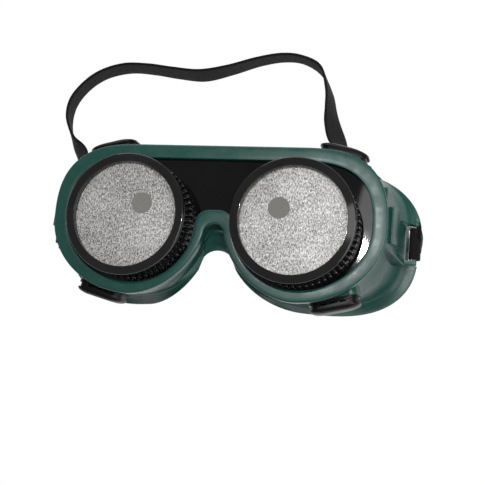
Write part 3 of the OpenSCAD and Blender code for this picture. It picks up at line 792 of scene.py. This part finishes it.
def makeDisc(name, side):                # the wall of the spot leans back, so its front edge stays thin
    low, high = (float(corner[2]) for corner in nodeBox(name + "_view_disc"))
    x, r, e = side * lensX, disc["radius"], disc["edge"]
    rings = [(r - e, low), (r, low + e), (r, high - e), (r - e, high)]
    piece = roundSlab(name + "ViewDisc", x, 0, rings, disc["turnSteps"])
    spotR = disc["spotD"] / 2
    rings = [(spotR + disc["spotLean"], low - 0.4), (spotR, high - 0.1), (spotR, high + 0.5)]
    spot = roundSlab("spot", x - side * disc["spotIn"], disc["spotUp"], rings, disc["spotSteps"])
    combine(piece, spot, "DIFFERENCE")
    dressed(piece, "goggles", speckle, [name + "_view_disc"], 30)


def makeLens(name, side):
    low, high = (float(corner[2]) for corner in nodeBox(name + "_clear_lens"))
    r, e, axis = disc["radius"], disc["lensEdge"], disc["axis"]
    profile = [(axis, low), (r - e, low), (r, low + e), (r, high - e), (r - e, high), (axis, high)]
    lens = turned(name + "ClearLens", profile, side * lensX, disc["turnSteps"])
    dressed(lens, "goggles", glass, [name + "_clear_lens"], 30)


for name, side in sides.items():
    makeDisc(name, side)
    makeLens(name, side)
print("discs and lenses made")


# Lens plate and gaskets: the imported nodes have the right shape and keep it

def finishNode(node, finish):
    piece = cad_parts[node]
    piece.data.materials.clear()
    piece.data.materials.append(finish)


finishNode("lens_plate", platePlastic)
for name in sides:
    finishNode(name + "_rear_gasket", rubber)
    finishNode(name + "_front_gasket", rubber)
print("plate and gaskets finished")


# Vents: a base with its neck through the wall, a hollow block with slots, and a cover on that block

def ventBase(under):
    long, wide, slotHigh = vent["long"], vent["wide"], vent["slotHigh"]
    plan = ventPlan(long, wide, vent["corner"])
    base = slabPiece("base", [(plan, 0), (plan, vent["base"])])
    neckTall = vent["neckDeep"] + 1      # it starts inside the base
    combine(base, blockPiece("neck", (neckL, neckW, neckTall), (0, 0, 1 - neckTall / 2)), "UNION")
    block = ventPlan(long - 2 * vent["blockIn"], wide - 2 * vent["blockIn"], vent["blockCorner"])
    combine(base, slabPiece("block", [(block, 0.5), (block, under)]), "UNION")
    passage = (vent["holeL"] - 2 * vent["webs"]) / 3
    slotZ = vent["base"] + vent["slotUp"] + slotHigh / 2
    for part in (-1, 0, 1):              # the air passage and the slots through the sides of the block
        air = blockPiece("air", (passage, vent["holeW"], 12), (part * (passage + vent["webs"]), 0, 0))
        combine(base, air, "DIFFERENCE")
        slot = blockPiece("slot", (vent["slotL"], 2 * wide, slotHigh), (part * vent["slotPitch"], 0, slotZ))
        combine(base, slot, "DIFFERENCE")
    return base


def ventCover(under, faceL):             # a domed top, from the full plan to the small flat face
    long, wide, faceW = vent["long"], vent["wide"], vent["faceW"]
    corner, edge = vent["faceCorner"], vent["edgeShare"]
    rings = [(ventPlan(long, wide, vent["corner"]), under)]
    for i in range(vent["domeSteps"] + 1):
        a = math.pi / 2 * i / vent["domeSteps"]
        far, up = math.cos(a) ** vent["domeIn"], edge + (1 - edge) * math.sin(a) ** vent["domeUp"]
        plan = ventPlan(faceL + (long - faceL) * far, faceW + (wide - faceW) * far,
                        corner + (vent["corner"] - corner) * far)
        rings.append((plan, under + vent["cover"] * up))
    return slabPiece("cover", rings)


def makeVent(name, side, brow):
    place = "brow" if brow > 0 else "cheek"
    turn, under = ventTurn(side, brow), vent["base"] + vent["gap"]
    for kind, piece in (("base", ventBase(under)), ("cover", ventCover(under, vent["faceL"][brow]))):
        whole = placedAt(joined(f"{name}{place.title()}Vent{kind.title()}", [piece]), turn)
        dressed(whole, "goggles", ventPlastic, [f"{name}_{place}_vent_{kind}"])


for name, side in sides.items():
    for brow in (1, -1):
        makeVent(name, side, brow)
print("vents made")


# Headband: black elastic, standing on its edge beyond the brow

band = {
    "wide": 15.0, "thick": 1.3, "lift": 0.1, "x": barOut + 0.5 + 0.65, "edgeRound": 0.9, "stepsPerPoint": 8,
    "flatSteps": 10, "loopGap": 0.3, "loopRound": 1.2, "loopThick": 0.9, "loopIn": 1.6,
}
restZ = band["wide"] / 2 + band["lift"]
guideZ = restZ + 1.75
bandRoute = [            # x, y, height of the middle, lean of the upper edge into the loop
    (-band["x"], lug["y"], lug["z"], 0), (-band["x"], lug["y"] + 9, lug["z"] - 1.5, 0),
    (-91.4, 18.5, 13, 0.4), (-89, 29, 9.6, 2.8), (-87.8, 40.2, 7.7, 4.9), (-94, 49, 7.6, 2.8),
    (-98, 60.3, restZ, 1.6), (-96.7, 71.1, restZ, 1.2), (-89.9, 80.5, restZ, 1.1),
    (-80.2, 87.1, restZ, 0.7), (-67.2, 90.4, restZ, 0.1), (-53.5, 89.8, restZ, -0.3),
    (-39.9, 87.8, restZ, -0.5), (-25.2, 86.5, restZ, -0.5), (-10.4, 89.5, restZ, 0.2),
    (4.5, 94, restZ, 0.6), (17.4, 96.2, restZ, 0.6), (28.1, 95, restZ, 0.4), (37.9, 89.3, restZ, -0.3),
    (42.7, 78.2, restZ, 0.8), (44.3, 68.5, restZ, 1.9), (45.6, 61, restZ + 0.2, 3.2),
    (48.5, 52.2, restZ + 0.6, 3.8), (52, 45.4, guideZ - 0.2, 1.6), (54.9, 41.9, guideZ, 0),
    (58.9, 39.4, guideZ, 0), (65.9, 35, guideZ, 0), (70.3, 32.2, guideZ, 0),
    (73.6, 29, guideZ - 0.3, 0), (76.8, 25.6, guideZ - 0.8, 0), (80.4, 22.4, guideZ - 0.9, 0),
    (84.7, 19.8, guideZ - 1.4, 0), (88.2, 17, restZ + 0.2, 0), (90.3, 13.8, restZ + 0.8, 0),
    (91.4, 10.4, restZ + 1.7, 0), (92.2, 6.8, restZ + 4.2, 0),
    (band["x"] + 0.1, 3, lug["z"] - 3, 0), (band["x"], lug["y"], lug["z"] - 1.4, 0),
]


def stripSection(wide, thick):           # round-edged section of a strap, (across, through)
    h, t, steps = wide / 2, thick / 2, band["flatSteps"]
    r = t * band["edgeRound"]
    flat = wide - 2 * r
    section = [(-h + r + flat * i / steps, t) for i in range(steps + 1)]
    section += [(h - r + r * math.cos(a), t * math.sin(a)) for a in (1.0, 0.5, 0.0, -0.5, -1.0)]
    section += [(h - r - flat * i / steps, -t) for i in range(steps + 1)]
    section += [(-h + r - r * math.cos(a), t * math.sin(a)) for a in (-1.0, -0.5, 0.0, 0.5, 1.0)]
    return section


def stripPiece(name, path, acrossDirs, wide, thick):     # a strap with its weave in UVs
    section = stripSection(wide, thick)
    points, lengths, total = [], [], 0.0
    for i, spot in enumerate(path):
        if i:
            total += float(np.linalg.norm(path[i] - path[i - 1]))
        lengths.append(total)
        along = path[min(i + 1, len(path) - 1)] - path[max(i - 1, 0)]
        along = along / np.linalg.norm(along)
        across = acrossDirs[i] - along * float(acrossDirs[i] @ along)
        across = across / np.linalg.norm(across)
        through = np.cross(along, across)
        points += [spot + across * u + through * v for u, v in section]
    size = len(section)
    piece = newPiece(name, points, bridgeRings(len(path), size, False) + endCaps(len(path), size))
    bm = bmesh.new()
    bm.from_mesh(piece.data)
    bmesh.ops.recalc_face_normals(bm, faces=bm.faces)
    bm.to_mesh(piece.data)
    bm.free()
    layer = piece.data.uv_layers.new(name="weave")
    for loop in piece.data.loops:
        k, i = loop.vertex_index % size, loop.vertex_index // size
        layer.data[loop.index].uv = (lengths[i] * mm, section[k][0] / wide + 0.5)
    return piece


def makeBand():
    run = smoothRun([np.array(stop, float) for stop in bandRoute], band["stepsPerPoint"])
    path, half = [stop[:3] for stop in run], band["wide"] / 2
    edges = []
    for i, stop in enumerate(run):
        along = run[min(i + 1, len(run) - 1)] - run[max(i - 1, 0)]
        side = np.array((along[1], -along[0], 0)) / math.hypot(along[0], along[1])
        edges.append(side * stop[3] / half + np.array((0, 0, math.sqrt(1 - (stop[3] / half) ** 2))))
    strap = stripPiece("headbandStrap", path, edges, band["wide"], band["thick"])
    dressed(strap, "band", webbing, ["headband"], 40)


def makeLoop(name, side):                # the end of the strap, folded round the lug bar
    r, t = band["loopRound"], band["thick"]
    off = band["loopGap"] + t / 2
    inX, outX = barIn - off, band["x"] - 0.05
    low, high = lug["z"] - lug["thick"] / 2 - off, lug["z"] + lug["thick"] / 2 + off
    bend = [(r - r * math.cos(a), r - r * math.sin(a)) for a in (0.4, 0.8, 1.2, 1.57)]
    loop = [(inX, low + 1.0), (inX, high - r)] + [(inX + c, high - s) for c, s in bend]
    loop += [(outX - r, high)] + [(outX - s, high - c) for c, s in bend]
    loop += [(outX, low + r)] + [(outX - c, low + s) for c, s in bend] + [(inX + band["loopIn"], low)]
    path = [np.array((side * x, lug["y"], z)) for x, z in loop]
    edges = [np.array((0, 1.0, 0))] * len(path)
    strap = stripPiece(name + "StrapTurn", path, edges, band["wide"], t * band["loopThick"])
    dressed(strap, "goggles", webbing, [name + "_strap_loop"], 40)


makeBand()
for name, side in sides.items():
    makeLoop(name, side)
print("headband made")


# Adjuster: a flat slide with a middle bar

adjuster = {
    "long": 10.0, "wall": 1.2, "clear": 0.3, "edge": 0.5,
    "windowL": 2.8, "windowIn": 0.8, "windowRound": 0.4,
    "between": (25, 26),                 # the two points of the band's route that it sits between
}


def makeAdjuster():
    a, b = (np.array(bandRoute[i][:3]) for i in adjuster["between"])
    turn = Matrix.Rotation(math.atan2(b[1] - a[1], b[0] - a[0]), 4, "Z")
    clear, wall, long = adjuster["clear"], adjuster["wall"], adjuster["long"]
    thick, tall = (band[key] + 2 * (clear + wall) for key in ("thick", "wide"))
    body = rounded(blockPiece("slide", (long, thick, tall), (0, 0, 0)), adjuster["edge"])
    channel = (3 * long, band["thick"] + 2 * clear, band["wide"] + 2 * clear)
    combine(body, blockPiece("channel", channel, (0, 0, 0)), "DIFFERENCE")
    for s in (-1, 1):
        size = (adjuster["windowL"], 4 * thick, band["wide"] - 2 * adjuster["windowIn"])
        window = rounded(blockPiece("window", size, (s * long / 4, 0, 0)), adjuster["windowRound"], 2)
        combine(body, window, "DIFFERENCE")
    body = placedAt(joined("strapAdjuster", [body]), Matrix.Translation(Vector((a + b) / 2)) @ turn)
    dressed(body, "adjuster", ventPlastic, ["strap_adjuster"])


makeAdjuster()
print("adjuster made")


# Floor, lamps and world

studio = {
    "floorSize": 40.0, "floorWhite": 0.6, "floorMottle": 30, "worldFill": 0.17,
    "lamps": [                           # name, place, aim, size, power
        ("glareLamp", (-0.018, 0.119, 0.868), (0.03, 0, 0.03), (0.013, 0.015), 1.35),
        ("softLamp", (0.07, 0.15, 0.88), (0.03, 0, 0.03), (0.2, 0.1), 0.16),
        ("topLamp", (0.42, 0.0, 0.9), (0, 0, 0.03), (0.35, 0.35), 3.0),
        ("sideLamp", (0.75, -0.25, 0.45), (0, 0, 0.03), (0.5, 0.5), 1.6),
        ("backLamp", (-0.25, 0.9, 0.55), (0, 0, 0.03), (0.6, 0.4), 3.2),
    ],
}


def seenWhite(finish):   # 1 for rays that look at the floor, straight, mirrored or through glass
    path = addNode(finish, "LightPath")
    seen = path.outputs["Is Camera Ray"]
    for kind in ("Is Glossy Ray", "Is Transmission Ray"):
        most = addNode(finish, "Math", operation="MAXIMUM")
        wire(finish, seen, most.inputs[0])
        wire(finish, path.outputs[kind], most.inputs[1])
        seen = most.outputs["Value"]
    return seen


def makeFloor():
    half, white = studio["floorSize"] / 2 / mm, studio["floorWhite"]
    corners = [(-half, -half, 0), (half, -half, 0), (half, half, 0), (-half, half, 0)]
    floor = newPiece("floor", corners, [(0, 1, 2, 3)])
    finish, shader = newFinish("paleFloor", Roughness=0.9, Specular_IOR_Level=0.0)
    mottle = noiseOn(finish, studio["floorMottle"], 2)
    tone = rampOn(finish, mottle, [(0, (white - 0.01,) * 3), (1, (white,) * 3)])
    wire(finish, tone, shader.inputs["Base Color"])
    glow = addNode(finish, "Emission")
    glow.inputs["Strength"].default_value = 1.0
    blend = addNode(finish, "MixShader")
    wire(finish, seenWhite(finish), blend.inputs["Fac"])
    wire(finish, shader.outputs["BSDF"], blend.inputs[1])
    wire(finish, glow.outputs["Emission"], blend.inputs[2])
    wire(finish, blend.outputs["Shader"], finish.node_tree.nodes["Material Output"].inputs["Surface"])
    floor.data.materials.append(finish)


def makeWorld():
    world = bpy.data.worlds.new("studioWorld")
    world.use_nodes = True
    fill = world.node_tree.nodes["Background"]
    fill.inputs["Strength"].default_value = studio["worldFill"]
    fill.inputs["Color"].default_value = (1, 1, 1, 1)
    bpy.context.scene.world = world


def makeLamps():
    for name, place, aim, size, power in studio["lamps"]:
        data = bpy.data.lights.new(name, "AREA")
        data.shape = "RECTANGLE"
        data.size, data.size_y = size
        data.energy = power
        lamp = bpy.data.objects.new(name, data)
        lamp.location = place
        lamp.rotation_euler = (Vector(aim) - Vector(place)).to_track_quat("-Z", "Y").to_euler()
        bpy.context.scene.collection.objects.link(lamp)


makeFloor()
makeWorld()
makeLamps()
bpy.context.scene.view_settings.view_transform = "Standard"
print("studio made")
